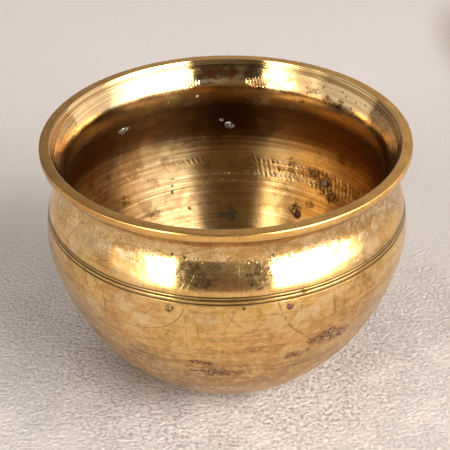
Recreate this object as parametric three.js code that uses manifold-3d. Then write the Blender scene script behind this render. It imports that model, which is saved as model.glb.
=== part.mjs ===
// A cast brass urli: a thick-walled round bowl with a waisted neck and a flat everted lip.
// It is one casting, turned on a lathe, with the metal pins that held the casting core still set in its wall.
// Millimetres, +Z up, origin at the centre of the flat base.
import * as THREE from "three";
import { mergeVertices } from "three/addons/utils/BufferGeometryUtils.js";
import Module from "manifold-3d";

const wasm = await Module();
wasm.setup();

// Driving dimensions
const HEIGHT = 143; // base to lip
const LIP_R = 100; // outside radius of the lip
const LIP_LAND = 5.8; // flat width of the lip's top face
const LIP_THICK = 4.6; // lip's underside below its top face
const LIP_ROUND = 1.2; // rounding of the lip's outer edges
const LIP_SOFTEN = 0.4; // rounding of the lip's inner edge
const NECK_R = 90.6; // outside radius at the waist
const NECK_DROP = 16; // waist below the lip
const BELLY_R = 99.6; // outside radius at the widest line
const BELLY_DROP = 56; // widest line below the lip
const BASE_R = 30; // flat that the bowl stands on
const WALL = 4.2; // wall at the belly
const FLOOR_WALL = 6; // bottom of the bowl at the centre
const THROAT_R = 86; // narrowest radius inside the neck
const THROAT_DROP = 17; // throat below the lip

// Stations of the outside wall from the base up: radius, drop below the lip
const OUTSIDE = [
  [BASE_R, HEIGHT],
  [39, 142.1],
  [47.5, 139.2],
  [55.8, 134],
  [69, 121.3],
  [81.2, 106],
  [90.5, 88],
  [97, 70],
  [BELLY_R, BELLY_DROP],
  [98.5, 41],
  [95.6, 31],
  [NECK_R + 1, NECK_DROP + 5.5],
  [NECK_R, NECK_DROP],
  [NECK_R + 2.4, NECK_DROP - 6.5],
  [LIP_R - LIP_ROUND, LIP_THICK],
];
// Stations of the inside wall from the lip down to the axis
const INSIDE = [
  [LIP_R - LIP_LAND, LIP_SOFTEN],
  [90.6, 6],
  [THROAT_R + 0.5, THROAT_DROP - 3.5],
  [THROAT_R + 0.5, THROAT_DROP + 3.5],
  [91.4, 32],
  [94.6, 43],
  [BELLY_R - WALL, BELLY_DROP],
  [92.6, 71],
  [86, 88],
  [76, 105],
  [62.6, 119.5],
  [42, 131],
  [18, HEIGHT - FLOOR_WALL - 0.6],
  [0, HEIGHT - FLOOR_WALL],
];
const OUTSIDE_STEPS = 30;
const INSIDE_STEPS = 22;
const TURNS = 64; // facets round the axis
const MERGE_WITHIN = 1e-4; // vertices closer than this are one

// Incised lines: V grooves cut by the turning tool
const GROOVE_DEPTH = 0.5;
const GROOVE_HALF = 0.45;
const SHOULDER_GROOVES = [37.9, 39.4, 41.6]; // outside, drop below the lip
const LIP_GROOVES = [1.3, 3]; // inside, drop below the lip

// Core pins, set square to the wall they pass through
const PIN_GAP = 0.3;
const PIN_LENGTH = 16; // before it is cut off flush with the wall
const PIN_SIDES = 20;
// deg is from the front, the -Y side, towards +X; below is the drop from the lip.
// wallRadius is the middle of the wall there, and tilt turns the pin's outer end down.
const PINS = [
  {
    name: "front_left_core_pin", metal: "brass", radius: 1.9,
    deg: -17, below: 45.4, wallRadius: 96.8, tilt: -3,
  },
  {
    name: "front_right_core_pin", metal: "copper", radius: 1.7,
    deg: 18, below: 46, wallRadius: 96.8, tilt: -3,
  },
  {
    name: "back_core_pin", metal: "iron", radius: 2.3,
    deg: 179, below: 44.8, wallRadius: 96.7, tilt: -4,
  },
  {
    name: "back_left_core_pin", metal: "iron", radius: 2.4,
    deg: -138.3, below: 34, wallRadius: 94.4, tilt: -14,
  },
  {
    name: "back_right_core_pin", metal: "iron", radius: 2.1,
    deg: 139, below: 74, wallRadius: 93.7, tilt: 19,
  },
  {
    name: "lower_right_core_pin", metal: "copper", radius: 2.3,
    deg: 147.5, below: 96.5, wallRadius: 84, tilt: 31,
  },
];

const MATERIALS = {
  casting: new THREE.MeshStandardMaterial({ color: 0xc8995a, roughness: 0.3, metalness: 1 }),
  brass: new THREE.MeshStandardMaterial({ color: 0x8d7440, roughness: 0.5, metalness: 1 }),
  iron: new THREE.MeshStandardMaterial({ color: 0x5f5a52, roughness: 0.6, metalness: 1 }),
  copper: new THREE.MeshStandardMaterial({ color: 0x8a4d2a, roughness: 0.5, metalness: 1 }),
};

// A smooth run of (radius, height) points through a list of stations.
function wallCurve(stations, steps) {
  const points = stations.map(([radius, below]) => new THREE.Vector2(radius, HEIGHT - below));
  return new THREE.SplineCurve(points).getPoints(steps);
}

// Cuts a V groove into a run of outline points where it crosses the given height.
// side is +1 where the metal lies towards the axis, -1 where it lies outwards.
function cutGroove(points, height, side) {
  const cut = [];
  for (let i = 0; i < points.length - 1; i++) {
    const [a, b] = [points[i], points[i + 1]];
    cut.push(a);
    if ((a.y - height) * (b.y - height) >= 0) continue;
    const along = b.clone().sub(a).normalize();
    const into = new THREE.Vector2(-Math.abs(along.y), along.x * Math.sign(along.y)).multiplyScalar(side);
    const middle = a.clone().lerp(b, (height - a.y) / (b.y - a.y));
    cut.push(middle.clone().addScaledVector(along, -GROOVE_HALF));
    cut.push(middle.clone().addScaledVector(into, GROOVE_DEPTH));
    cut.push(middle.clone().addScaledVector(along, GROOVE_HALF));
  }
  cut.push(points.at(-1));
  return cut;
}

// The lip's edge and flat top, between the outside and the inside.
function lipPoints() {
  return [
    new THREE.Vector2(LIP_R, HEIGHT - LIP_THICK + LIP_ROUND),
    new THREE.Vector2(LIP_R, HEIGHT - LIP_ROUND),
    new THREE.Vector2(LIP_R - LIP_ROUND, HEIGHT),
    new THREE.Vector2(LIP_R - LIP_LAND + LIP_SOFTEN, HEIGHT),
  ];
}

// The closed half section of the casting: outside, lip, inside.
function castingSection() {
  let outside = wallCurve(OUTSIDE, OUTSIDE_STEPS);
  for (const below of SHOULDER_GROOVES) outside = cutGroove(outside, HEIGHT - below, 1);
  let inside = wallCurve(INSIDE, INSIDE_STEPS);
  for (const below of LIP_GROOVES) inside = cutGroove(inside, HEIGHT - below, -1);
  return [new THREE.Vector2(0, 0), ...outside, ...lipPoints(), ...inside];
}

// A closed three.js geometry as a manifold-3d solid.
function solidFrom(geometry) {
  const bare = geometry.clone();
  bare.deleteAttribute("normal");
  bare.deleteAttribute("uv");
  const merged = mergeVertices(bare, MERGE_WITHIN);
  return new wasm.Manifold(
    new wasm.Mesh({
      numProp: 3,
      vertProperties: merged.attributes.position.array,
      triVerts: new Uint32Array(merged.index.array),
    }),
  );
}

function geometryFrom(solid) {
  const mesh = solid.getMesh();
  const geometry = new THREE.BufferGeometry();
  geometry.setAttribute("position", new THREE.BufferAttribute(mesh.vertProperties, 3));
  geometry.setIndex(new THREE.BufferAttribute(mesh.triVerts, 1));
  geometry.computeVertexNormals();
  return geometry;
}

function namedMesh(name, solid, material) {
  const mesh = new THREE.Mesh(geometryFrom(solid), material);
  mesh.name = name;
  return mesh;
}

// The whole wall before the pins are let into it.
function castingBlank() {
  const lathe = new THREE.LatheGeometry(castingSection(), TURNS);
  lathe.rotateX(Math.PI / 2);
  return solidFrom(lathe);
}

// A rod square to the wall, long enough to pass right through it.
function pinRod(pin, radius) {
  const rod = new THREE.CylinderGeometry(radius, radius, PIN_LENGTH, PIN_SIDES);
  rod.rotateX(THREE.MathUtils.degToRad(pin.tilt));
  rod.translate(0, -pin.wallRadius, HEIGHT - pin.below);
  rod.rotateZ(THREE.MathUtils.degToRad(pin.deg));
  return solidFrom(rod);
}

const urli = new THREE.Group();
const blank = castingBlank();
let casting = blank;
for (const pin of PINS) {
  urli.add(namedMesh(pin.name, blank.intersect(pinRod(pin, pin.radius)), MATERIALS[pin.metal]));
  casting = casting.subtract(pinRod(pin, pin.radius + PIN_GAP));
}
urli.add(namedMesh("bowl_casting", casting, MATERIALS.casting));

export default urli;
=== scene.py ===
import functools
import math

import bmesh
import bpy
import numpy as np
from mathutils import Matrix, Vector


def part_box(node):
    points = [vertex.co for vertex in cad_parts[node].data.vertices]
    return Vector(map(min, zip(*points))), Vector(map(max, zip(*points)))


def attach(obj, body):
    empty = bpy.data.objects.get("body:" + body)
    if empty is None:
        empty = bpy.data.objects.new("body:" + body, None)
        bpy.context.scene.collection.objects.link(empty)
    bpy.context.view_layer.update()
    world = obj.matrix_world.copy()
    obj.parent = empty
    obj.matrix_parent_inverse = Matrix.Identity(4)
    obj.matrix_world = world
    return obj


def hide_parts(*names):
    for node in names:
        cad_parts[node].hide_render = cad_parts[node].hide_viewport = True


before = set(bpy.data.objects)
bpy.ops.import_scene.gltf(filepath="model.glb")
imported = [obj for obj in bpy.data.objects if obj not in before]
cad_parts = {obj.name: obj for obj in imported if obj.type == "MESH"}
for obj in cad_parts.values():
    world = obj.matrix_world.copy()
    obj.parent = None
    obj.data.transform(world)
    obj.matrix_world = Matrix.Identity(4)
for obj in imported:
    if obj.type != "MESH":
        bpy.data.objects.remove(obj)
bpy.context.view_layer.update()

# ---------------------------------------------------------------- sizes, from the frame
CASTING_LOW, CASTING_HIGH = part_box("bowl_casting")
LIP_R = (CASTING_HIGH.x - CASTING_LOW.x) / 2
HEIGHT = CASTING_HIGH.z
LIP_UNITS = 100
UNIT = LIP_R / LIP_UNITS  # 1 mm on this bowl; the tables below count in it
HEIGHT_UNITS = HEIGHT / UNIT

# Stations of the wall: radius, drop below the lip
BASE_R = 30
OUTSIDE = [
    (BASE_R, HEIGHT_UNITS),
    (39, 142.1),
    (47.5, 139.2),
    (55.8, 134),
    (69, 121.3),
    (81.2, 106),
    (90.5, 88),
    (97, 70),
    (99.6, 56),
    (98.5, 41),
    (95.6, 31),
    (91.6, 21.5),
    (90.6, 16),
    (93, 9.5),
]
INSIDE = [
    (90.6, 6),
    (86.5, 13.5),
    (86.5, 20.5),
    (91.4, 32),
    (94.6, 43),
    (95.4, 56),
    (92.6, 71),
    (86, 88),
    (76, 105),
    (62.6, 119.5),
    (42, 131),
    (18, HEIGHT_UNITS - 6.6),
    (0, HEIGHT_UNITS - 6),
]
# The lip's rounds: radius, centre's distance in from the lip's edge, its drop, and the first and last angle
# from level, where 0 points out and 90 up
LIP_UNDER = (1.8, 1.85, 3.4, -50, 0)
LIP_OUTER = (0.8, 0.85, 0.85, 0, 90)
LIP_INNER = (0.6, 5.4, 0.65, 90, 140)
# Points of the outline in each of its parts
SPLINE_POINTS = 1500
BASE_POINTS = 60
CORNER_POINTS = 24
LAND_POINTS = 40
FACE_POINTS = 12

# Turned lines: drop, depth and half width
SHOULDER_LINES = [(37.9, 0.13, 0.26), (39.4, 0.22, 0.4), (41.6, 0.18, 0.36)]
LIP_LINES = [(1.5, 0.07, 0.3), (2.6, 0.05, 0.3), (3.9, 0.07, 0.3)]
INNER_LINES = [
    (52.5, 0.07, 0.35),
    (65.6, 0.04, 0.35),
    (80.6, 0.06, 0.3),
    (84.2, 0.06, 0.3),
    (94.5, 0.07, 0.35),
    (110, 0.06, 0.35),
]

# Chatter left by the inside tool: rows of slanting nicks
CHATTER_DROPS = (66.2, 78.2)
CHATTER_ROWS = 3
CHATTER_COUNT = 192  # nicks round the bowl
CHATTER_DEPTH = 0.4
CHATTER_SHALLOW = 0.35  # the least depth that a nick may have by chance, as a share
CHATTER_PITCH = 1.25  # the pitch, in nick lengths
CHATTER_SLANT = 0.85  # pitches that a nick leans over one row
CHATTER_STAGGER = 0.37  # pitches from one row to the next
CHATTER_FAINTEST = 0.35  # depth of the first row on the -X half, as a share of that on the +X side
CHATTER_MORE = (0.16, 0.4)  # sine of the azimuth over which the further rows begin

# Fine upright nicks at the foot of the neck, which are bumps in the material
COMB_COUNT = 300  # nicks round the neck
COMB_DEPTH = 4.0  # in bump distances

# The mesh: facets round the axis, and rows across the wall
TURNS = 320
CHATTER_TURNS = TURNS * 3
ROW_STEP = 3.0
LIP_STEP = 0.45
CHATTER_STEP = 0.6
CLOSEST_ROWS = 0.17
EVEN_CLEAR = 0.6  # an even row within this share of ROW_STEP of another is left out
LINE_ROWS = np.array([-2, -1.2, -0.6, 0, 0.6, 1.2, 2])  # rows at a turned line, in its half widths
BASE_CLEAR = 3  # all faces this near the base have the outside's finish
CASTING_CREASE = 38  # degrees; edges sharper than this stay crisp

# The slow unevenness of the hand
WAVE_TURNS = (1, 2, 3, 5, 8, 11, 17)
WAVE_PITCHES = (7, 16)  # across the wall
WAVE_SIZE = 0.05
WAVE_RISE = 25  # the wall above the flat base over which it comes in
WAVE_FREE = (4, 2)  # the wall outside and inside next to the lip that has none
CASTING_SEED = 11

# The core pins' metal and radius; their places are those of their CAD nodes
PINS = {
    "front_left_core_pin": ("brass_pin", 1.9),
    "front_right_core_pin": ("copper_pin", 1.7),
    "back_core_pin": ("iron_pin", 2.3),
    "back_left_core_pin": ("iron_pin", 2.4),
    "back_right_core_pin": ("iron_pin", 2.1),
    "lower_right_core_pin": ("copper_pin", 2.3),
}
# A pin's domed end: rings by radius and depth, in the pin's radii
PIN_END = [(0.3, 0.0), (0.62, 0.01), (0.86, 0.04), (0.97, 0.1), (1.0, 0.2)]
PIN_HAMMERED = 0.95  # the rings within this radius are dented
PIN_DENTS = (-0.045, 0.02)
PIN_SIDES = 32
PIN_CREASE = 50  # degrees
PIN_CREVICE = 0.1
PIN_SEED = 5
HOLE_SIDES = 28
HOLE_LENGTH = 14


# ---------------------------------------------------------------- the wall's outline
def spline(stations):
    """Points along the natural cubic spline through the stations."""
    knots = np.array(stations, float)
    steps = np.linalg.norm(np.diff(knots, axis=0), axis=1)
    at = np.concatenate([[0], np.cumsum(steps)])
    last = len(at) - 1
    system = np.eye(last + 1)
    target = np.zeros((last + 1, 2))
    for i in range(1, last):
        system[i, i - 1 : i + 2] = steps[i - 1], 2 * (steps[i - 1] + steps[i]), steps[i]
        target[i] = 6 * ((knots[i + 1] - knots[i]) / steps[i] - (knots[i] - knots[i - 1]) / steps[i - 1])
    bend = np.linalg.solve(system, target)
    fine = np.linspace(0, at[-1], SPLINE_POINTS)
    k = np.clip(np.searchsorted(at, fine) - 1, 0, last - 1)
    step = steps[k][:, None]
    a = (at[k + 1] - fine)[:, None] / step
    b = 1 - a
    curve = ((a**3 - a) * bend[k] + (b**3 - b) * bend[k + 1]) * step**2 / 6
    return a * knots[k] + b * knots[k + 1] + curve


def corner(radius, inset, below, start, end):
    """A round of the lip, given as at LIP_UNDER."""
    angles = np.radians(np.linspace(start, end, CORNER_POINTS))
    return np.stack([LIP_UNITS - inset + radius * np.cos(angles), below - radius * np.sin(angles)], 1)


def outline():
    """The section in four parts: base, outside, lip, and inside down to the middle of the floor."""
    under, outer, inner = corner(*LIP_UNDER), corner(*LIP_OUTER), corner(*LIP_INNER)
    base = np.linspace((0, HEIGHT_UNITS), (BASE_R, HEIGHT_UNITS), BASE_POINTS)[:-1]
    outside = spline(OUTSIDE + [tuple(under[0])])[:-1]
    land = np.linspace(outer[-1], inner[0], LAND_POINTS)[1:-1]
    face = np.linspace(under[-1], outer[0], FACE_POINTS)[1:-1]
    inside = spline([tuple(inner[-1])] + INSIDE)[1:]
    return [base, outside, np.concatenate([under, face, outer, land, inner]), inside]


class Wall:
    """The outline by arc length: radius, drop and outward normal, in units."""

    def __init__(self):
        parts = outline()
        self.points = np.concatenate(parts)
        steps = np.linalg.norm(np.diff(self.points, axis=0), axis=1)
        self.arc = np.concatenate([[0], np.cumsum(steps)])
        ends = np.cumsum([len(part) for part in parts]) - 1
        self.lip_start, self.inside_start = self.arc[ends[1]], self.arc[ends[2]]
        slope = np.gradient(self.points, self.arc, axis=0)
        normal = np.stack([-slope[:, 1], -slope[:, 0]], 1)
        self.normals = normal / np.linalg.norm(normal, axis=1)[:, None]

    def at(self, arc):
        """Radius, drop, and the normal's outward and upward parts."""
        columns = np.hstack([self.points, self.normals]).T
        return [np.interp(arc, self.arc, column) for column in columns]

    def arc_of(self, below, inside):
        """The arc length where that side of the wall is that far below the lip."""
        on_side = self.arc >= self.inside_start if inside else self.arc <= self.lip_start
        order = 1 if inside else -1
        return np.interp(below, self.points[on_side, 1][::order], self.arc[on_side][::order])


WALL = Wall()


def place(degrees, below, inside):
    """The point of the wall's surface at an azimuth from the front, towards +X, and its outward normal."""
    radius, drop, out, up = WALL.at(WALL.arc_of(below, inside))
    angle = math.radians(degrees)
    radial = Vector((math.sin(angle), -math.cos(angle), 0))
    return radial * radius * UNIT + Vector((0, 0, HEIGHT - drop * UNIT)), radial * out + Vector((0, 0, up))


# ---------------------------------------------------------------- the casting's mesh
def turned_features():
    """The turned lines of the wall as arc length, depth and half width."""
    sides = ((SHOULDER_LINES, False), (LIP_LINES + INNER_LINES, True))
    features = []
    for lines, inside in sides:
        features += [(WALL.arc_of(below, inside), depth, half) for below, depth, half in lines]
    return features


def row_arcs(features, band):
    """Arc lengths of the mesh's rows: even, closer at lines, on the lip and over the chatter's band."""
    even = np.arange(ROW_STEP, WALL.arc[-1] - 1, ROW_STEP)
    near = [arc + half * LINE_ROWS for arc, _, half in features]
    lip = np.arange(WALL.lip_start, WALL.inside_start + 0.1, LIP_STEP)
    chatter = np.arange(band[0], band[1], CHATTER_STEP)
    fine = np.sort(np.concatenate(near + [lip, chatter]))
    kept = [fine[0]]
    for arc in fine[1:]:
        if arc - kept[-1] > CLOSEST_ROWS:
            kept.append(arc)
    kept = np.array(kept)
    clear = [arc for arc in even if np.abs(kept - arc).min() > ROW_STEP * EVEN_CLEAR]
    return np.sort(np.concatenate([kept, clear]))


def turned_relief(arcs, features):
    """How far the turned lines cut below the wall at each row, in units."""
    cut = np.zeros(len(arcs))
    for arc, depth, half in features:
        cut += depth * np.exp(-(((arcs - arc) / half) ** 2))
    return cut


def chatter_relief(angles, arc, band, depths):
    """The tool's nicks at one row of the band, in units."""
    height = (band[1] - band[0]) / CHATTER_ROWS
    row = min(int((arc - band[0]) / height), CHATTER_ROWS - 1)
    across = min((arc - band[0]) / height - row, 1)
    along = angles / (2 * math.pi) * CHATTER_COUNT + CHATTER_SLANT * across + CHATTER_STAGGER * row
    nick = np.floor(along).astype(int) % CHATTER_COUNT
    share = along - np.floor(along)
    shape = np.sin(np.pi * np.clip(share * CHATTER_PITCH, 0, 1)) * math.sin(math.pi * across)
    more = np.clip((np.sin(angles) - CHATTER_MORE[0]) / (CHATTER_MORE[1] - CHATTER_MORE[0]), 0, 1)
    swell = CHATTER_FAINTEST + (1 - CHATTER_FAINTEST) * more if row == 0 else more
    return CHATTER_DEPTH * shape * swell * depths[row, nick]


def hand_wobble(angles, arc, waves):
    """Slow unevenness of a hand-finished wall at one row, in units."""
    if WALL.lip_start - WAVE_FREE[0] < arc < WALL.inside_start + WAVE_FREE[1]:
        return np.zeros(len(angles))
    total = np.zeros(len(angles))
    for turns, pitch, phase in waves:
        total += WAVE_SIZE / (1 + turns / 4) * np.sin(turns * angles + arc / pitch + phase)
    return total * np.clip((arc - BASE_R) / WAVE_RISE, 0, 1)


def casting_rows():
    """One ring of points for each row of the wall, coarse or fine."""
    draw = np.random.default_rng(CASTING_SEED)
    band = tuple(WALL.arc_of(below, True) for below in CHATTER_DROPS)
    features = turned_features()
    arcs = row_arcs(features, band)
    cuts = turned_relief(arcs, features)
    depths = draw.uniform(CHATTER_SHALLOW, 1, (CHATTER_ROWS, CHATTER_COUNT))
    waves = [(turns, draw.uniform(*WAVE_PITCHES), draw.uniform(0, 6.28)) for turns in WAVE_TURNS]
    rows = []
    for arc, cut in zip(arcs, cuts):
        fine = band[0] <= arc <= band[1]
        count = CHATTER_TURNS if fine else TURNS
        angles = np.arange(count) / count * 2 * math.pi
        radius, below, out, up = WALL.at(arc)
        inward = np.full(count, cut)
        if fine:
            inward += chatter_relief(angles, arc, band, depths)
        inward += hand_wobble(angles, arc, waves)
        reach = (radius - inward * out) * UNIT
        height = HEIGHT - (below + inward * up) * UNIT
        rows.append(np.stack([reach * np.sin(angles), -reach * np.cos(angles), height], 1))
    return rows


def join_rows(lower, upper, start_lower, start_upper):
    """Faces between two rings, of the same count or one three times the other."""
    if lower == upper:
        pairs = [(i, (i + 1) % lower) for i in range(lower)]
        return [(start_lower + i, start_lower + j, start_upper + j, start_upper + i) for i, j in pairs]
    rises = lower < upper
    few, many = (lower, upper) if rises else (upper, lower)
    few_start, many_start = (start_lower, start_upper) if rises else (start_upper, start_lower)
    share = many // few
    faces = []
    for i in range(few):
        fine = [many_start + (i * share + k) % many for k in range(share, -1, -1)]
        face = [few_start + i, few_start + (i + 1) % few] + fine
        faces.append(face if rises else face[::-1])
    return faces


def new_object(name, data):
    """An object of the scene with this mesh, light or camera."""
    thing = bpy.data.objects.new(name, data)
    bpy.context.scene.collection.objects.link(thing)
    return thing


def mesh_object(name, vertices, faces):
    mesh = bpy.data.meshes.new(name)
    mesh.from_pydata([tuple(v) for v in vertices], [], faces)
    mesh.update()
    return new_object(name, mesh)


def finish_normals(piece, crease):
    """Faces out, smooth, with edges sharper than the crease angle left crisp."""
    shape = bmesh.new()
    shape.from_mesh(piece.data)
    bmesh.ops.recalc_face_normals(shape, faces=shape.faces)
    shape.to_mesh(piece.data)
    shape.free()
    piece.data.shade_smooth()
    piece.data.set_sharp_from_angle(angle=math.radians(crease))


def rings_to_object(name, rows, first, last):
    """A closed surface of rings between two end points."""
    vertices = [first]
    starts = []
    for row in rows:
        starts.append(len(vertices))
        vertices.extend(row)
    vertices.append(last)
    end = len(vertices) - 1
    count = len(rows[0])
    faces = [(0, starts[0] + (i + 1) % count, starts[0] + i) for i in range(count)]
    for k in range(len(rows) - 1):
        faces.extend(join_rows(len(rows[k]), len(rows[k + 1]), starts[k], starts[k + 1]))
    count = len(rows[-1])
    faces.extend((end, starts[-1] + i, starts[-1] + (i + 1) % count) for i in range(count))
    return mesh_object(name, vertices, faces)


# ---------------------------------------------------------------- the core pins
def pin_ends(node):
    """The pin's outer and inner ends on the wall's two surfaces, from its CAD node's place."""
    low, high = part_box(node)
    middle = (low + high) / 2
    degrees = math.degrees(math.atan2(middle.x, -middle.y))
    below = (HEIGHT - middle.z) / UNIT
    outer, normal = place(degrees, below, False)
    outer_end = middle + normal * (outer - middle).dot(normal)
    return outer_end, middle * 2 - outer_end


def pin_rings(start, end, radius, draw):
    """Rings of a round pin with slightly domed and hammered ends."""
    axis = (end - start).normalized()
    side = axis.orthogonal().normalized()
    other = axis.cross(side)
    long = (end - start).length / radius
    profile = PIN_END + [(share, long - depth) for share, depth in reversed(PIN_END)]
    dents = draw.uniform(*PIN_DENTS, (len(profile), PIN_SIDES))
    rows = []
    for k, (share, depth) in enumerate(profile):
        row = []
        for i in range(PIN_SIDES):
            angle = 2 * math.pi * i / PIN_SIDES
            spoke = side * math.cos(angle) + other * math.sin(angle)
            worn = dents[k, i] if share < PIN_HAMMERED else 0.0
            row.append(start + spoke * radius * share + axis * radius * (depth - worn))
        rows.append(row)
    return rows


def make_pin(node, radius, draw):
    outer_end, inner_end = pin_ends(node)
    rows = pin_rings(outer_end, inner_end, radius, draw)
    pin = rings_to_object(node + "_plug", rows, outer_end, inner_end)
    finish_normals(pin, PIN_CREASE)
    return pin


def pin_holes():
    """One cutter with a rod for each hole in the casting."""
    cutter = bmesh.new()
    for node, (_, radius) in PINS.items():
        outer_end, inner_end = pin_ends(node)
        axis = (outer_end - inner_end).normalized()
        turn = axis.to_track_quat("Z", "Y").to_matrix().to_4x4()
        wide = (radius + PIN_CREVICE) * UNIT
        bmesh.ops.create_cone(
            cutter,
            cap_ends=True,
            segments=HOLE_SIDES,
            radius1=wide,
            radius2=wide,
            depth=HOLE_LENGTH * UNIT,
            matrix=Matrix.Translation((outer_end + inner_end) / 2) @ turn,
        )
    mesh = bpy.data.meshes.new("pin_holes")
    cutter.to_mesh(mesh)
    cutter.free()
    return new_object("pin_holes", mesh)


def cut(piece, cutter):
    """Takes the cutter's solids out of the piece, and removes the cutter."""
    step = piece.modifiers.new("holes", "BOOLEAN")
    step.operation = "DIFFERENCE"
    step.solver = "EXACT"
    step.object = cutter
    done = piece.evaluated_get(bpy.context.evaluated_depsgraph_get())
    mesh = bpy.data.meshes.new_from_object(done)
    piece.modifiers.clear()
    piece.data = mesh
    bpy.data.objects.remove(cutter)


def assign_finishes(casting):
    """Material slots of the faces: 0 outside, 1 on the lip, 2 inside."""
    faces = casting.data.polygons
    middles = np.empty(len(faces) * 3)
    faces.foreach_get("center", middles)
    middles = middles.reshape(-1, 3) / UNIT
    radius = np.hypot(middles[:, 0], middles[:, 1])
    drop = HEIGHT_UNITS - middles[:, 2]
    to_outside = np.abs(radius - WALL.at(WALL.arc_of(drop, False))[0])
    to_inside = np.abs(radius - WALL.at(WALL.arc_of(drop, True))[0])
    slots = np.where((to_inside < to_outside) & (drop < HEIGHT_UNITS - BASE_CLEAR), 2, 0)
    slots[(drop < LIP_UNDER[2]) & (radius > LIP_UNITS - LIP_INNER[1])] = 1
    faces.foreach_set("material_index", slots)


def make_casting():
    base = Vector((0, 0, 0))
    floor = Vector((0, 0, HEIGHT - WALL.points[-1][1] * UNIT))
    casting = rings_to_object("urli_casting", casting_rows(), base, floor)
    cut(casting, pin_holes())
    finish_normals(casting, CASTING_CREASE)
    for finish in (outside_brass(), lip_brass(), inside_brass()):
        casting.data.materials.append(finish)
    assign_finishes(casting)
    return casting


# ---------------------------------------------------------------- shader helpers
# The noise that frays the edges of spots: the size of its features, and the span of its shift
FRAY_SIZE = 4
FRAY_SPAN = 5
# The slow sway of the fine scratches
SWAY_SIZE = 40
SWAY_SPAN = 9


class Nodes:
    """Adds and joins the nodes of one material, light or world."""

    def __init__(self, owner):
        owner.use_nodes = True
        self.tree = owner.node_tree
        self.tree.nodes.clear()

    def add(self, kind, inputs=None, **settings):
        node = self.tree.nodes.new("ShaderNode" + kind)
        for name, value in settings.items():
            setattr(node, name, value)
        for name, value in (inputs or {}).items():
            self.put(node.inputs[name], value)
        return node

    def put(self, socket, value):
        if isinstance(value, bpy.types.NodeSocket):
            self.tree.links.new(value, socket)
        else:
            socket.default_value = value

    def math(self, operation, first, second=0.0):
        return self.add("Math", {0: first, 1: second}, operation=operation).outputs[0]

    def fold(self, operation, values):
        """Joins the values by one operation, from the first on."""
        return functools.reduce(functools.partial(self.math, operation), values)

    def product(self, *values):
        return self.fold("MULTIPLY", values)

    def total(self, *values):
        return self.fold("ADD", values)

    def most(self, *values):
        return self.fold("MAXIMUM", values)

    def minus(self, value, taken):
        return self.math("SUBTRACT", value, taken)

    def ramp(self, value, low, high, to_low=0.0, to_high=1.0):
        """A smooth step of value between two edges."""
        inputs = {"Value": value, "From Min": low, "From Max": high, "To Min": to_low, "To Max": to_high}
        return self.add("MapRange", inputs, interpolation_type="SMOOTHSTEP").outputs[0]

    def mix(self, share, first, second):
        inputs = {"Factor": share, 6: first, 7: second}
        return self.add("Mix", inputs, data_type="RGBA").outputs[2]

    def paint(self, color, tint, *shares):
        """The color with a tint laid over it, by the product of the shares."""
        return self.mix(self.product(*shares), color, tint)

    def vector(self, operation, first, second=(0, 0, 0)):
        return self.add("VectorMath", {0: first, 1: second}, operation=operation).outputs[0]

    def length(self, vector):
        return self.add("VectorMath", {0: vector}, operation="LENGTH").outputs["Value"]

    def parts(self, vector):
        return self.add("SeparateXYZ", {0: vector}).outputs

    def joined(self, x, y, z=0.0):
        return self.add("CombineXYZ", {0: x, 1: y, 2: z}).outputs[0]

    def noise(self, vector, size, detail=4.0, roughness=0.55, distortion=0.0):
        """Noise whose features are about size across, in units."""
        inputs = {
            "Vector": vector,
            "Scale": 1 / (size * UNIT),
            "Detail": detail,
            "Roughness": roughness,
            "Distortion": distortion,
        }
        return self.add("TexNoise", inputs).outputs["Fac"]


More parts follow.
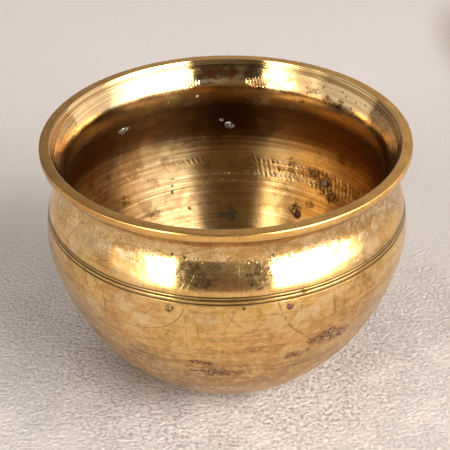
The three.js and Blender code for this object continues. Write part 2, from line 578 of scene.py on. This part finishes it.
class Turned(Nodes):
    """The nodes of a turned surface, measured by drop below the lip and by the way round the axis."""

    def __init__(self, name, inside=False):
        self.material = bpy.data.materials.new(name)
        super().__init__(self.material)
        self.inside = inside
        self.at = self.add("TexCoord").outputs["Object"]
        x, y, z = self.parts(self.at)
        flat = self.joined(x, y)
        self.round = self.vector("NORMALIZE", flat)
        self.radius = self.math("DIVIDE", self.length(flat), UNIT)
        self.turn = self.math("ARCTAN2", x, self.product(y, -1))
        self.sideways = self.parts(self.round)[0]
        self.drop = self.math("DIVIDE", self.minus(HEIGHT, z), UNIT)
        wander = self.add("TexNoise", {"Vector": self.at, "Scale": 1 / (FRAY_SIZE * UNIT), "Detail": 4.0})
        shift = self.vector("SUBTRACT", wander.outputs["Color"], (0.5, 0.5, 0.5))
        self.frayed = self.vector("ADD", self.at, self.vector("MULTIPLY", shift, (FRAY_SPAN * UNIT,) * 3))

    def lines(self, pitch, runs, detail=2.0):
        """Turning lines: pitch apart across the wall and broken about runs times round it."""
        around = self.vector("MULTIPLY", self.round, (runs / 6, runs / 6, 0))
        across = self.joined(0.0, 0.0, self.math("DIVIDE", self.drop, pitch))
        inputs = {
            "Vector": self.vector("ADD", around, across),
            "W": self.math("DIVIDE", self.radius, pitch),
            "Scale": 1.0,
            "Detail": detail,
        }
        return self.add("TexNoise", inputs, noise_dimensions="4D").outputs["Fac"]

    def band(self, middle, half, soft):
        """1 within half of a drop, fading over soft."""
        away = self.math("ABSOLUTE", self.minus(self.drop, middle))
        return self.ramp(away, half + soft, half)

    def oval(self, at, degrees, below, across, down):
        """How far a point is from a place on the wall, in half sizes of the oval round it."""
        middle, _ = place(degrees, below, self.inside)
        scale = (1 / (across * UNIT), 1 / (across * UNIT), 1 / (down * UNIT))
        return self.length(self.vector("MULTIPLY", self.vector("SUBTRACT", at, tuple(middle)), scale))

    def spots(self, places):
        """1 at each of several places, fading out at a frayed oval edge."""
        return self.most(*[self.ramp(self.oval(self.frayed, *spot), 1.0, 0.5) for spot in places])

    def broken(self):
        """Fine crumbled patches."""
        return self.ramp(self.noise(self.at, 1.5, 3, 0.75), 0.46, 0.51)

    def freckles(self, size, share, seed=0.0):
        """Small round dots in a share of the cells of a net."""
        moved = self.vector("ADD", self.at, (seed * UNIT,) * 3)
        cells = self.add("TexVoronoi", {"Vector": moved, "Scale": 1 / (size * UNIT)})
        chosen = self.add("SeparateColor", {0: cells.outputs["Color"]})
        dot = self.ramp(cells.outputs["Distance"], 0.42, 0.2)
        return self.product(dot, self.ramp(chosen.outputs[0], 1 - share, 1 - share + 0.05))

    def scratches(self, lean, long, thin, share, seed):
        """Fine scratches that lean from level by an angle; there are more of them with a higher share."""
        swayed = self.total(self.drop, self.product(self.noise(self.at, SWAY_SIZE, 1), SWAY_SPAN))
        inputs = {
            "Vector": self.joined(self.product(self.turn, LIP_UNITS), swayed, seed),
            "Rotation": (0, 0, math.radians(lean)),
            "Scale": (long, thin, 1),
        }
        net = self.add("Mapping", inputs, vector_type="TEXTURE").outputs[0]
        noise = self.add("TexNoise", {"Vector": net, "Scale": 1.0, "Detail": 0.0})
        return self.ramp(noise.outputs["Fac"], 0.84 - share, 0.88 - share)

    def comb(self):
        """Upright nicks round the neck."""
        return self.ramp(self.math("SINE", self.product(self.turn, COMB_COUNT)), -0.6, 0.8)

    def chatter(self):
        """1 in the middle of each nick that the inside tool left."""
        top, bottom = CHATTER_DROPS
        rows = self.product(self.minus(self.drop, top), CHATTER_ROWS / (bottom - top))
        row = self.math("FLOOR", rows)
        across = self.minus(rows, row)
        along = self.product(self.turn, CHATTER_COUNT / (2 * math.pi))
        along = self.total(along, self.product(across, CHATTER_SLANT), self.product(row, CHATTER_STAGGER))
        cell = self.joined(self.math("FLOOR", along), row)
        own = self.add("TexWhiteNoise", {"Vector": cell}, noise_dimensions="3D").outputs["Value"]
        round_way = self.math("SINE", self.product(self.math("FRACT", along), math.pi))
        down_way = self.math("SINE", self.product(across, math.pi))
        deep = self.minus(self.product(round_way, down_way), self.product(own, 0.5))
        first = self.product(self.math("LESS_THAN", row, 0.5), CHATTER_FAINTEST)
        shown = self.most(self.ramp(self.sideways, *CHATTER_MORE), first)
        within = self.band((top + bottom) / 2, (bottom - top) / 2, 0.2)
        return self.product(self.ramp(deep, 0.3, 0.6), within, shown)

    def finish(self, color, roughness, height, distance, anisotropy, metallic=1.0):
        """The metal's shader, with its bump distance in units; returns the material."""
        bump = self.add("Bump", {"Height": height, "Strength": 1.0, "Distance": distance * UNIT})
        shader = self.add("BsdfPrincipled", {
            "Base Color": color,
            "Metallic": metallic,
            "Roughness": roughness,
            "Normal": bump.outputs[0],
            "Anisotropic": anisotropy,
            "Anisotropic Rotation": 0.25,
            "Tangent": self.add("Tangent", direction_type="RADIAL", axis="Z").outputs[0],
        })
        self.add("OutputMaterial", {"Surface": shader.outputs[0]})
        return self.material


# ---------------------------------------------------------------- the brass
# Tones of the metal, from clean to foul
CREAM = (0.92, 0.74, 0.46, 1)
PALE = (0.88, 0.62, 0.30, 1)
GOLD = (0.84, 0.54, 0.18, 1)
PINK = (0.84, 0.60, 0.35, 1)
ROSE = (0.74, 0.44, 0.155, 1)
OCHRE = (0.72, 0.44, 0.11, 1)
# A duller tone: painted shade for the sides of the neck inside
NECK_SIDE_SHADE = (0.66, 0.49, 0.29, 1)
WORN = (0.56, 0.335, 0.115, 1)
# A greyer tone: painted reflection on the bowl's -X side, where it mirrors the right panel
BOWL_REFLECTION_TONE = (0.46, 0.325, 0.175, 1)
BROWN = (0.36, 0.19, 0.06, 1)
CRUST = (0.30, 0.13, 0.045, 1)
UMBER = (0.14, 0.068, 0.02, 1)
# Near black: painted shade for the undercut inside below the neck
UNDERCUT_SHADE = (0.115, 0.034, 0.004, 1)
SCORCHED = (0.10, 0.045, 0.015, 1)
# Soot on the outside, and painted shade inside the neck
SOOT_AND_SHADE = (0.055, 0.032, 0.012, 1)
BLACK = (0.03, 0.018, 0.01, 1)
# The lip's two tones, and what has come onto the brass
LIP_FRESH = (0.90, 0.52, 0.16, 1)
LIP_DULL = (0.74, 0.41, 0.12, 1)
COPPER = (0.50, 0.20, 0.09, 1)
RUST = (0.30, 0.09, 0.035, 1)
VERDIGRIS = (0.22, 0.22, 0.165, 1)
SILVER = (0.33, 0.36, 0.32, 1)

# Bump distances, in units
BUMP = 0.05
LIP_BUMP = 0.03

# Marks of the outside: azimuth from the front, drop, half sizes round and down the wall
SHOULDER_SMUDGES = [(-11.3, 27, 8.5, 7), (-8, 31, 7, 3.4), (9.6, 28.5, 8.5, 8)]
RUST_PATCHES = [(-4, 28, 9, 7), (0.5, 32, 7, 5)]
TARNISH = [(-54, 29, 16, 12), (-46, 25, 12, 8), (-22, 95, 24, 10), (50, 30, 12, 10)]
PALE_PATCHES = [(-32, 49, 8, 7), (-26, 55, 7, 6), (-6, 50, 9, 3), (24, 52, 9, 5), (-45, 62, 8, 8)]
PIN_SHADES = [(-17.1, 45.7, 3.6, 3.4), (18.4, 46, 2.8, 2.6)]
LOW_STAINS = [(-5, 91.5, 22, 5), (-9, 84, 13, 2.6), (8.5, 71, 8, 2), (22, 92, 16, 4), (-30, 88, 14, 6)]
CRUSTED = [(-6, 89, 19, 9), (33, 75, 17, 8), (-27, 80, 12, 7)]
POROUS = [(31, 74, 13, 6), (37, 77, 9, 5), (22, 82, 9, 4), (-5, 92, 16, 4), (-9, 83, 9, 2.6)]
SINGLE_PITS = [(22.8, 40, 1.8, 1.8), (4.3, 43.9, 1.3, 1.2), (-17, 19, 1.4, 1.2), (-13.5, 19.8, 1.4, 1.2)]
# Long curved scratches: the middle and half sizes of the oval that each is the lower part of
SCORES = [(10.5, 45.5, 18, 12), (-30, 42, 30, 20), (30, 34, 27, 36)]
# Fine scratches: lean from level, length, width, share and seed
SCRATCHES = [
    (4, 60, 1.1, 0.09, 0.0),
    (-14, 45, 1.0, 0.08, 5.1),
    (40, 34, 0.9, 0.065, 7.3),
    (-62, 30, 0.9, 0.06, 3.1),
    (88, 24, 1.0, 0.06, 1.7),
]
# Marks of the inside: azimuth from the front again, so the back is at 180
# Painted shade where the back of the neck reflects the dark front
NECK_PAINTED_SHADE = [(-173.5, 8, 10, 8), (167, 8, 12, 8), (180, 6, 12, 5)]
NECK_RUST = [(-175, 7.2, 4.4, 4), (177.3, 7, 4.4, 4)]
# Painted highlights: pale gleams at the foot of the dark neck
NECK_PAINTED_GLEAMS = [(-177, 11, 9, 1.3), (-171, 11.2, 5, 1.5)]
NECK_COMBS = [(165, 11.5, 14, 3), (-166, 11.5, 8, 3)]
NECK_STAINS = [(148, 18, 3.4, 2.8), (144, 10.5, 7, 2.6), (137, 12, 5, 3), (130, 12, 4, 4), (155, 8, 3, 2)]
BOWL_STAINS = [(133, 54, 5, 5), (154, 68, 3, 6), (143, 88, 4, 3.4), (-136, 81, 5, 4), (-147, 94, 7, 4)]
BOWL_DOTS = [(-158, 77.6, 1.3, 1.4), (-157.5, 81, 1.2, 1.2), (-157, 85, 1.4, 1.4), (-163.6, 95.8, 1.8, 1.7)]
PIN_CRUSTS = [(139, 74, 8, 8), (134, 79, 7, 5), (144, 69, 6, 4), (149.5, 93.5, 6, 5), (-179, 42.5, 4.4, 4)]
PIN_SMEARS = [
    (178.4, 45.6, 4.4, 2.4),
    (-138.8, 34, 5, 2.2),
    (-178.5, 41.2, 2, 1.6),
    (-168.6, 19.7, 1.3, 1.1),
]
GREEN_SPOTS = [(177.6, 99.8, 5, 4), (-177.9, 100.6, 4, 2.6)]


def patina(n):
    """The mottled brass under the marks of both sides, with its two patterns."""
    clouds = n.noise(n.at, 40, 5, 0.6)
    patches = n.noise(n.at, 11, 6, 0.72)
    bloom = n.noise(n.frayed, 13, 5, 0.65)
    streaks = n.lines(4, 9, 4)
    color = n.mix(n.ramp(clouds, 0.42, 0.56), GOLD, ROSE)
    color = n.paint(color, PALE, n.ramp(bloom, 0.53, 0.57, 0.0, 0.5))
    color = n.paint(color, OCHRE, n.ramp(patches, 0.52, 0.58, 0.0, 0.5))
    color = n.paint(color, BROWN, n.ramp(bloom, 0.47, 0.42, 0.0, 0.35))
    color = n.paint(color, BROWN, n.ramp(streaks, 0.54, 0.7, 0.0, 0.4))
    color = n.paint(color, BROWN, n.ramp(patches, 0.46, 0.36, 0.0, 0.4))
    return color, clouds, patches


def scores(n):
    """The long curved scratches, broken here and there."""
    lines = []
    for degrees, below, across, down in SCORES:
        away = n.minus(n.oval(n.at, degrees, below, across, down), 1.0)
        line = n.ramp(n.math("ABSOLUTE", away), 0.022, 0.006)
        lines.append(n.product(line, n.ramp(n.drop, below, below + 5)))
    return n.product(n.most(*lines), n.ramp(n.noise(n.at, 9, 2), 0.42, 0.5))


def fine_scratches(n):
    """Hair-thin scratches in several directions, few of each."""
    return n.most(*[n.scratches(*kind) for kind in SCRATCHES])


def shoulder_tones(n, color, blotches):
    """Tarnish, painted shade that makes the neck browner, most on the +X side, a mottled neck, and pale
    patches below the shoulder lines.
    """
    color = n.paint(color, PINK, n.spots(TARNISH), blotches, 0.75)
    # Painted shade: the neck browner, most on the +X side
    color = n.paint(color, BROWN, n.band(19, 7, 6), n.ramp(n.sideways, 0.2, 0.75, 0.25, 0.6))
    mottled = n.ramp(n.noise(n.frayed, 4, 5, 0.75), 0.50, 0.55)
    color = n.paint(color, CREAM, mottled, n.band(19, 6, 5), 0.5)
    return n.paint(color, CREAM, n.spots(PALE_PATCHES), blotches, 0.55)


def outside_stains(n, color, low, smudges):
    """Grime low on the belly, rust, crusts round the pores, and soot on the shoulder."""
    blotches = n.ramp(n.noise(n.frayed, 7, 5, 0.7), 0.42, 0.54, 0.25, 1.0)
    scuffed = n.ramp(n.lines(1.1, 30, 3), 0.46, 0.56)
    color = shoulder_tones(n, color, blotches)
    color = n.paint(color, BROWN, low, n.ramp(blotches, 0.0, 1.0, 0.6, 1.0), 0.88)
    color = n.paint(color, COPPER, n.spots(RUST_PATCHES), blotches, 0.6)
    color = n.paint(color, UMBER, n.spots(LOW_STAINS), scuffed, 0.85)
    color = n.paint(color, UMBER, n.spots(PIN_SHADES), 0.7)
    color = n.paint(color, CRUST, n.spots(CRUSTED), blotches, 0.5)
    color = n.paint(color, CRUST, n.spots(POROUS), n.ramp(n.broken(), 0.0, 1.0, 0.45, 0.9))
    return n.paint(color, SOOT_AND_SHADE, smudges, 0.95)


def outside_grain(n, color):
    """Fine brown and pale mottling of the belly, fainter above it."""
    grain = n.total(n.product(n.noise(n.at, 3.4, 5, 0.8), 0.65), n.product(n.lines(2.4, 50, 4), 0.35))
    belly = n.ramp(n.drop, 33, 48, 0.35, 1.0)
    color = n.paint(color, BROWN, n.ramp(grain, 0.52, 0.58), belly, 0.4)
    return n.paint(color, PALE, n.ramp(grain, 0.48, 0.42), belly, 0.6)


def outside_pits(n):
    """Casting pores in patches, a few single ones, and a row at the waist."""
    specks = n.most(n.freckles(1.9, 0.75), n.freckles(1.3, 0.6, 9))
    pores = n.ramp(n.product(n.spots(POROUS), specks), 0.12, 0.4)
    waist = n.product(n.freckles(1.6, 0.3, 3), n.band(19.5, 2, 2))
    return n.most(n.spots(SINGLE_PITS), pores, n.freckles(2.6, 0.03, 5), waist)


def outside_brass():
    n = Turned("turned_outside_brass")
    color, clouds, patches = patina(n)
    scratches = n.most(fine_scratches(n), scores(n))
    pits = outside_pits(n)
    grooves = n.most(*[n.band(below, half, half * 0.6) for below, _, half in SHOULDER_LINES])
    low = n.ramp(n.drop, 68, 102)
    smudges = n.ramp(n.product(n.spots(SHOULDER_SMUDGES), n.broken()), 0.1, 0.45)
    color = n.paint(color, BROWN, n.ramp(n.lines(1.6, 8, 3), 0.54, 0.66), 0.35)
    color = outside_stains(n, color, low, smudges)
    color = outside_grain(n, color)
    color = n.paint(color, UMBER, scratches, 0.5)
    color = n.paint(color, BLACK, pits, 0.92)
    color = n.paint(color, BROWN, n.band(40, 2, 1.5), 0.35)
    color = n.paint(color, SOOT_AND_SHADE, grooves, 0.95)
    # Painted shade: a brown line just under the lip
    color = n.paint(color, BROWN, n.band(5.2, 0.2, 1.2))
    worn = n.total(n.ramp(clouds, 0.3, 0.7, 0.11, 0.18), n.ramp(patches, 0.45, 0.75, 0.0, 0.11))
    roughness = n.total(worn, n.product(n.most(pits, smudges, low), 0.15), n.product(grooves, 0.4))
    turned = n.total(n.product(n.lines(0.7, 10), 0.25), n.product(n.noise(n.at, 1.6, 4, 0.7), 0.12))
    raised = n.total(turned, n.product(n.noise(n.at, 9, 3), 0.8))
    cut_in = n.total(n.product(scratches, 0.2), n.product(pits, 1.5))
    return n.finish(color, roughness, n.minus(raised, cut_in), BUMP, anisotropy=0.5)


def bowl_tones(n, color, lines, bowl):
    """Lined and worn brass down in the bowl, greyer on its -X side as a painted reflection, and painted
    shade, near black, in the undercut below the neck.
    """
    # Painted shade: the undercut darkened to near black
    undercut = n.product(n.ramp(n.drop, 20, 30), n.ramp(n.drop, 62, 46))
    # Painted reflection: a greyer tone on the bowl's -X side
    worn = n.mix(n.ramp(n.sideways, 0.0, -0.3), WORN, BOWL_REFLECTION_TONE)
    color = n.paint(color, worn, bowl, 0.7)
    color = n.paint(color, BROWN, n.ramp(lines, 0.5, 0.58), bowl, 0.6)
    color = n.paint(color, CREAM, n.ramp(lines, 0.45, 0.40), bowl, 0.5)
    return n.paint(color, UNDERCUT_SHADE, undercut, 0.9)


def neck_tones(n, color):
    """Fine turning lines inside the neck and lip, on brass with a duller painted shade at the sides."""
    # Painted shade: a duller tone at the neck's sides
    at_side = n.ramp(n.math("ABSOLUTE", n.sideways), 0.35, 0.8, 0.25, 0.75)
    color = n.paint(color, NECK_SIDE_SHADE, n.band(8, 9, 5), at_side)
    color = n.paint(color, BROWN, n.ramp(n.lines(0.9, 5, 3), 0.48, 0.56), n.band(9, 7, 3), 0.4)
    return n.paint(color, UMBER, n.ramp(n.lines(0.55, 3, 2), 0.48, 0.56), n.band(2.6, 1.6, 0.8), 0.75)


def neck_marks(n, color):
    """Painted shade in brushed places, two rusty ones, painted gleams and specks inside the neck."""
    brushed = n.ramp(n.noise(n.at, 4, 4, 0.7), 0.42, 0.52, 0.4, 1.0)
    rubbed = n.ramp(n.lines(1.3, 40, 3), 0.40, 0.50, 0.4, 1.0)
    # Painted shade: dark brushed patches at the back of the neck
    color = n.paint(color, SOOT_AND_SHADE, n.spots(NECK_PAINTED_SHADE), brushed, 0.7)
    color = n.paint(color, RUST, n.spots(NECK_RUST), rubbed, 0.9)
    # Painted highlights: cream gleams inside the neck
    color = n.paint(color, CREAM, n.spots(NECK_PAINTED_GLEAMS), 0.8)
    specks = n.product(n.freckles(2.4, 0.3, 4), n.band(10, 5, 4))
    return n.paint(color, UMBER, specks, n.ramp(n.sideways, 0.3, 0.55), 0.8)


def inside_stains(n, color, bowl):
    """Smoke in the bowl, and stains and crusts at their places."""
    smoke = n.ramp(n.noise(n.frayed, 12, 5, 0.7), 0.50, 0.64)
    color = n.paint(color, UMBER, smoke, bowl, 0.5)
    color = neck_marks(n, color)
    crumbled = n.ramp(n.noise(n.at, 2.2, 4, 0.75), 0.42, 0.50)
    for places, stain, share in (
        (NECK_STAINS, UMBER, 0.85),
        (BOWL_STAINS, UMBER, 0.85),
        (GREEN_SPOTS, VERDIGRIS, 0.8),
        (PIN_CRUSTS, BLACK, 0.9),
    ):
        color = n.paint(color, stain, n.spots(places), crumbled, share)
    return color


def inside_brass():
    n = Turned("turned_inside_brass", inside=True)
    color, _, patches = patina(n)
    bowl = n.ramp(n.drop, 18, 30)
    lines = n.total(n.product(n.lines(0.9, 7, 2), 0.5), n.product(n.lines(1.8, 6, 4), 0.5))
    color = bowl_tones(n, color, lines, bowl)
    color = neck_tones(n, color)
    color = inside_stains(n, color, bowl)
    uneven = n.ramp(n.noise(n.at, 10, 3), 0.42, 0.55, 0.35, 1.0)
    pits = n.most(n.spots(BOWL_DOTS), n.freckles(2.6, 0.02), n.product(n.freckles(1.2, 0.06, 3), bowl))
    smears = n.product(n.spots(PIN_SMEARS), n.ramp(n.noise(n.at, 1.6, 3), 0.36, 0.46))
    comb = n.product(n.spots(NECK_COMBS), n.comb())
    color = n.paint(color, SCORCHED, n.chatter(), uneven, 0.85)
    color = n.paint(color, BLACK, pits, 0.85)
    color = n.paint(color, SILVER, smears, 0.9)
    color = n.paint(color, UMBER, comb, 0.6)
    roughness = n.total(n.ramp(n.drop, 12, 34, 0.14, 0.29), n.ramp(patches, 0.45, 0.75, 0.0, 0.12))
    turned = n.total(n.product(lines, bowl, 1.3), n.product(n.lines(0.6, 4), 0.6))
    raised = n.total(turned, n.product(n.noise(n.at, 9, 3), 0.8))
    cut_in = n.total(n.product(pits, 1.5), n.product(comb, COMB_DEPTH))
    metallic = n.minus(1.0, smears)
    return n.finish(color, roughness, n.minus(raised, cut_in), BUMP, anisotropy=0.92, metallic=metallic)


def lip_brass():
    """The lip's land and edge: browner, with painted shade towards -X, turning lines and nicks of use."""
    n = Turned("worn_lip_brass")
    patches = n.noise(n.at, 9, 6, 0.7)
    clouds = n.noise(n.at, 60, 3)
    lines = n.lines(0.5, 8, 2)
    nicks = n.freckles(1.8, 0.05)
    color = n.mix(n.ramp(patches, 0.38, 0.6), LIP_FRESH, LIP_DULL)
    color = n.paint(color, BROWN, n.ramp(clouds, 0.50, 0.64, 0.0, 0.35))
    # Painted shade: the lip browner towards -X
    color = n.paint(color, BROWN, n.ramp(n.sideways, -0.3, -0.9, 0.0, 0.45))
    color = n.paint(color, UMBER, n.ramp(lines, 0.54, 0.68), 0.4)
    color = n.paint(color, UMBER, nicks, 0.6)
    roughness = n.ramp(patches, 0.3, 0.7, 0.2, 0.32)
    height = n.minus(n.product(lines, 0.4), nicks)
    return n.finish(color, roughness, height, LIP_BUMP, anisotropy=0.4)


# ---------------------------------------------------------------- the pins' metals
# Each slot's material, its fresh tone and its worn tone
PIN_METALS = {
    "brass_pin": ("dull_brass", (0.44, 0.28, 0.10, 1), (0.13, 0.075, 0.03, 1)),
    "copper_pin": ("dull_copper", (0.22, 0.09, 0.07, 1), (0.09, 0.035, 0.03, 1)),
    "iron_pin": ("worn_iron", (0.66, 0.70, 0.64, 1), (0.17, 0.16, 0.155, 1)),
}


def pin_material(name, fresh, worn):
    """A core pin's metal: two tones in patches, darker low in the bowl."""
    n = Turned(name)
    patches = n.noise(n.at, 1.7, 4, 0.6, 0.4)
    grain = n.noise(n.at, 0.5, 2)
    low = n.ramp(n.drop, 55, 68, 0.0, 0.85)
    color = n.mix(n.most(n.ramp(patches, 0.46, 0.6), low), fresh, worn)
    roughness = n.ramp(patches, 0.35, 0.65, 0.37, 0.6)
    height = n.total(patches, n.product(grain, 0.3))
    return n.finish(color, roughness, height, BUMP, anisotropy=0.0)


# ---------------------------------------------------------------- the object
def build_urli():
    draw = np.random.default_rng(PIN_SEED)
    casting = make_casting()
    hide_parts("bowl_casting")
    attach(casting, "root")
    metals = {slot: pin_material(*metal) for slot, metal in PIN_METALS.items()}
    for node, (slot, radius) in PINS.items():
        pin = make_pin(node, radius * UNIT, draw)
        pin.data.materials.append(metals[slot])
        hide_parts(node)
        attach(pin, "root")


# ---------------------------------------------------------------- floor, light and camera
PLASTER = (0.56, 0.505, 0.48, 1)
PLASTER_PALE = (0.61, 0.555, 0.525, 1)
# The floor's painted shade at the back
PLASTER_FAR_SHADE = (0.50, 0.455, 0.435, 1)
# The stipple's pits, dirt and painted shade, and its peaks, painted light
STIPPLE_DIRT_AND_SHADE = (0.22, 0.18, 0.16, 1)
STIPPLE_PAINTED_LIGHT = (0.80, 0.745, 0.715, 1)
# Colour of the painted shadows on the floor
PAINTED_SHADOW = (0.24, 0.18, 0.13, 1)
# Painted shadows on the floor in lip radii: middle, half sizes across and along, and how dark
# The first is the shadow of a thing out of view at the back right, the second the shadow round the bowl's
# foot
FLOOR_PAINTED_SHADOWS = [((2.15, 4.2), 0.4, 1.4, 0.55), ((-0.3, -0.1), 0.7, 0.65, 0.8)]
FLOOR_HALF = 60  # lip radii

# Soft panels round the bowl: azimuth from the front towards +X and, in lip radii, distance, width, height
# and height of the middle; then the glow, and for some the two places across the panel, from 0 at its -X
# side to 1, between which it comes to full glow
PANELS = {
    "right_panel": (58, 34, 41, 44, 22, 11.5, (1.0, 0.5)),
    "left_panel": (-52, 34, 26, 38, 20, 13.5, (0.38, 0.85)),
    "left_wall": (-92, 36, 34, 30, 16, 0.8, None),
    "right_wall": (102, 36, 28, 30, 16, 1.0, None),
}
PANEL_WHITE = (1, 0.985, 0.96, 1)
ROOM_WHITE = (1, 0.9, 0.8, 1)
DIMMEST = 0.1  # glow of a panel's dim side as a share of its full glow

# The camera, before the front and above the lip by these lip radii
CAMERA_BACK = 6
CAMERA_ABOVE = 3.26
CAMERA_LENS = 101.4
CAMERA_DOWN = 32.62  # degrees below level
CAMERA_TURN = 0.1  # degrees to the left
CAMERA_LEAN = -0.85  # degrees round its own axis


def plaster_material():
    """Trowelled plaster, stippled in patches near the front and smooth at the back; its shadows, shade and
    lit stipple are painted.
    """
    material = bpy.data.materials.new("pale_plaster")
    n = Nodes(material)
    at = n.add("TexCoord").outputs["Object"]
    y = n.parts(at)[1]
    ridges = n.noise(n.vector("MULTIPLY", at, (0.45, 1, 1)), 2.3, 3, 0.7)
    stipple = n.noise(at, 2.4, 4, 0.7)
    rough = n.ramp(n.noise(at, 26, 3, 0.6), 0.3, 0.6, 0.45, 1.0)
    # Painted shade: the floor darker towards the back
    back = n.ramp(y, -2.5 * LIP_R, 3 * LIP_R)
    front = n.ramp(y, 1.5 * LIP_R, -0.2 * LIP_R, 0.1, 1.0)
    # Painted shadow: the stipple's pits darker near the bowl's foot
    under = n.ramp(n.length(at), 1.3 * LIP_R, 0.75 * LIP_R, 0.22, 0.9)
    color = n.mix(n.ramp(n.noise(at, 180, 3), 0.3, 0.7), PLASTER, PLASTER_PALE)
    color = n.paint(color, PLASTER_FAR_SHADE, back)
    # Painted shade and dirt in the stipple's pits, painted light on its peaks
    color = n.paint(color, STIPPLE_DIRT_AND_SHADE, n.ramp(stipple, 0.48, 0.38), rough, front, under)
    color = n.paint(color, STIPPLE_PAINTED_LIGHT, n.ramp(stipple, 0.48, 0.58), rough, front, 0.4)
    # Painted shadows: a thing out of view at the back right, and round the bowl's foot
    for middle, across, along, share in FLOOR_PAINTED_SHADOWS:
        away = n.vector("SUBTRACT", at, (middle[0] * LIP_R, middle[1] * LIP_R, 0))
        away = n.length(n.vector("DIVIDE", away, (across * LIP_R, along * LIP_R, 1)))
        color = n.paint(color, PAINTED_SHADOW, n.ramp(away, 1.0, 0.2, 0.0, share))
    pitted = n.product(n.ramp(stipple, 0.36, 0.64), rough)
    relief = n.product(n.total(n.ramp(ridges, 0.34, 0.66, 0.0, 0.6), pitted), front)
    bump = n.add("Bump", {"Height": relief, "Strength": 1.0, "Distance": 0.9 * UNIT})
    shader = n.add("BsdfPrincipled", {
        "Base Color": color,
        "Roughness": 0.8,
        "Normal": bump.outputs[0],
        "Specular IOR Level": 0.2,
    })
    n.add("OutputMaterial", {"Surface": shader.outputs[0]})
    return material


def make_floor():
    half = FLOOR_HALF * LIP_R
    corners = [(-half, -half, 0), (half, -half, 0), (half, half, 0), (-half, half, 0)]
    floor = mesh_object("floor", corners, [(0, 1, 2, 3)])
    floor.data.materials.append(plaster_material())


def panel(name, azimuth, distance, width, height, middle, glow, dim):
    """A soft panel that faces the bowl; what each value says is noted at PANELS."""
    light = bpy.data.lights.new(name, "AREA")
    light.shape = "RECTANGLE"
    light.size = width * LIP_R
    light.size_y = height * LIP_R
    light.energy = math.pi * light.size * light.size_y
    n = Nodes(light)
    strength = glow
    if dim:
        across = n.parts(n.add("NewGeometry").outputs["Parametric"])[0]
        strength = n.product(n.ramp(across, *dim, DIMMEST, 1.0), glow)
    emission = n.add("Emission", {"Color": PANEL_WHITE, "Strength": strength})
    n.add("OutputLight", {"Surface": emission.outputs[0]})
    lamp = new_object(name, light)
    angle = math.radians(azimuth)
    lamp.location = Vector((math.sin(angle), -math.cos(angle), 0)) * distance * LIP_R
    lamp.location.z = middle * LIP_R
    lamp.rotation_euler = (math.radians(90), 0, angle)
    lamp.visible_camera = False


def make_light():
    """The panels, in a room that is dimmer at the front, on the -X side and overhead."""
    for name, values in PANELS.items():
        panel(name, *values)
    world = bpy.data.worlds.new("studio")
    bpy.context.scene.world = world
    n = Nodes(world)
    x, y, z = n.parts(n.add("TexCoord").outputs["Generated"])
    back = n.ramp(y, -0.3, 0.7, 0.3, 0.6)
    side = n.ramp(x, -0.5, 0.4, 0.5, 1.0)
    overhead = n.ramp(z, 0.45, 0.85, 1.0, 0.55)
    shade = n.add("Background", {"Color": ROOM_WHITE, "Strength": n.product(back, side, overhead)})
    n.add("OutputWorld", {"Surface": shade.outputs[0]})


def make_camera():
    """Above the front, looking down at the bowl."""
    data = bpy.data.cameras.new("camera")
    data.sensor_width = 36
    data.lens = CAMERA_LENS
    camera = new_object("camera", data)
    camera.location = (0, -CAMERA_BACK * LIP_R, HEIGHT + CAMERA_ABOVE * LIP_R)
    pitch = Matrix.Rotation(math.radians(90 - CAMERA_DOWN), 4, "X")
    turn = Matrix.Rotation(math.radians(CAMERA_TURN), 4, "Z")
    lean = Matrix.Rotation(math.radians(CAMERA_LEAN), 4, "Z")
    camera.rotation_euler = (turn @ pitch @ lean).to_euler()
    bpy.context.scene.camera = camera


build_urli()
make_floor()
make_light()
make_camera()
bpy.context.scene.view_settings.view_transform = "Standard"
